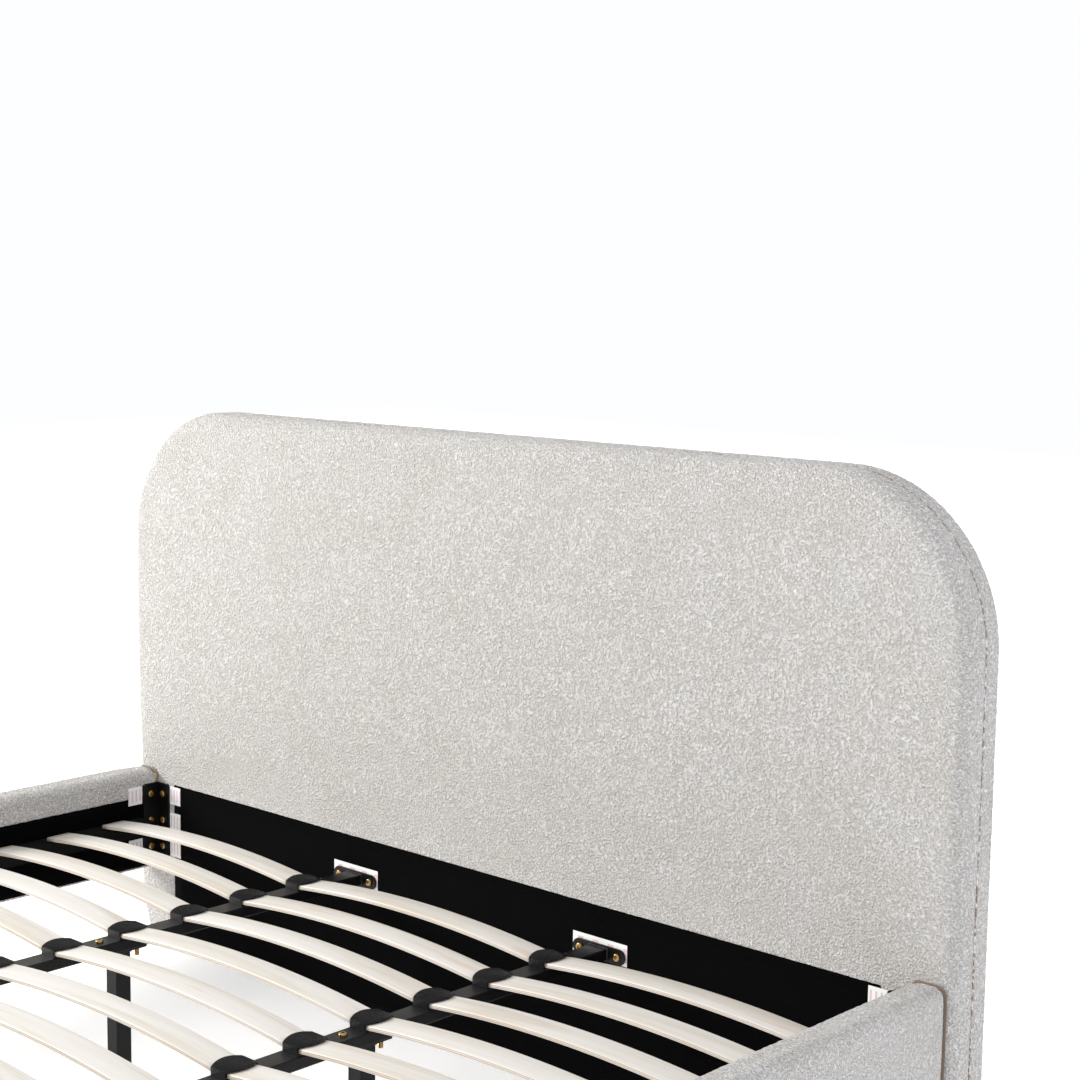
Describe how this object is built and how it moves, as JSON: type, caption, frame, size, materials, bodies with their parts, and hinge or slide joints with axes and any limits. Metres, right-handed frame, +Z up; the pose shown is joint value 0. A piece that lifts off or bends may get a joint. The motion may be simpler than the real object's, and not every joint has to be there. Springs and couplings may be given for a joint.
{
  "type": "upholstered headboard bed",
  "caption": "Upholstered bed with a round-cornered boucle headboard, padded rails, bowed slats on two steel beams and screw feet.",
  "frame": {"origin": "centre of the bed footprint, on the floor", "axes": "+Z up, +Y towards the headboard, X across the bed"},
  "size_m": [2.01, 2.196, 1.127],
  "materials": {
    "boucle_fabric": "looped wool-blend boucle, matte",
    "black_lining": "black non-woven lining, matte",
    "foam": "cut upholstery foam",
    "slat_plywood": "bent birch-faced plywood, unvarnished",
    "black_timber": "black-stained batten",
    "timber": "sawn pine and plywood",
    "black_plastic": "moulded, satin",
    "zinc_steel": "yellow zinc plating, iridescent",
    "label_paper": "plain white label",
    "black_steel": "black powder coat, satin"
  },
  "bodies": {
    "bed": {"corner_bracket_foot_left": "black_steel", "corner_bracket_foot_right": "black_steel", "corner_bracket_head_left": "black_steel", "corner_bracket_head_right": "black_steel", "floor_glides": "black_plastic", "footboard_cover": "boucle_fabric", "footboard_foam": "foam", "footboard_liner": "black_lining", "footboard_timber": "timber", "frame_bolts": "zinc_steel", "headboard_back_cover": "black_lining", "headboard_cover": "boucle_fabric", "headboard_edge_band": "boucle_fabric", "headboard_foam": "foam", "headboard_frame": "timber", "headboard_liner": "black_lining", "headboard_lower_board": "timber", "headboard_panel": "timber", "leg_bolts": "zinc_steel", "leg_plugs": "black_plastic", "plain_labels": "label_paper", "rail_cover_left": "boucle_fabric", "rail_cover_right": "boucle_fabric", "rail_foam_left": "foam", "rail_foam_right": "foam", "rail_liner_left": "black_lining", "rail_liner_right": "black_lining", "rail_timber_left": "timber", "rail_timber_right": "timber", "slat_holders_left": "black_plastic", "slat_holders_right": "black_plastic", "slat_ledger_left": "black_timber", "slat_ledger_right": "black_timber", "slat_row_01": "slat_plywood", "slat_row_02": "slat_plywood", "slat_row_03": "slat_plywood", "slat_row_04": "slat_plywood", "slat_row_05": "slat_plywood", "slat_row_06": "slat_plywood", "slat_row_07": "slat_plywood", "slat_row_08": "slat_plywood", "slat_row_09": "slat_plywood", "slat_row_10": "slat_plywood", "slat_row_11": "slat_plywood", "slat_row_12": "slat_plywood", "slat_row_13": "slat_plywood", "slat_row_14": "slat_plywood", "slat_row_15": "slat_plywood", "support_beam_left": "black_steel", "support_beam_right": "black_steel", "support_leg_foot_left": "black_steel", "support_leg_foot_right": "black_steel", "support_leg_head_left": "black_steel", "support_leg_head_right": "black_steel", "tee_nuts": "zinc_steel"},
    "levelling_foot_foot_left": {"levelling_foot_foot_left": "black_plastic"},
    "levelling_foot_foot_right": {"levelling_foot_foot_right": "black_plastic"},
    "levelling_foot_head_left": {"levelling_foot_head_left": "black_plastic"},
    "levelling_foot_head_right": {"levelling_foot_head_right": "black_plastic"}
  },
  "joints": [
    {"name": "foot_screw_foot_left", "type": "slide", "parent": "bed", "child": "levelling_foot_foot_left", "axis": [0, 0, 1], "range_m": [-0.015, 0.007]},
    {"name": "foot_screw_foot_right", "type": "slide", "parent": "bed", "child": "levelling_foot_foot_right", "axis": [0, 0, 1], "range_m": [-0.015, 0.007]},
    {"name": "foot_screw_head_left", "type": "slide", "parent": "bed", "child": "levelling_foot_head_left", "axis": [0, 0, 1], "range_m": [-0.015, 0.007]},
    {"name": "foot_screw_head_right", "type": "slide", "parent": "bed", "child": "levelling_foot_head_right", "axis": [0, 0, 1], "range_m": [-0.015, 0.007]}
  ]
}
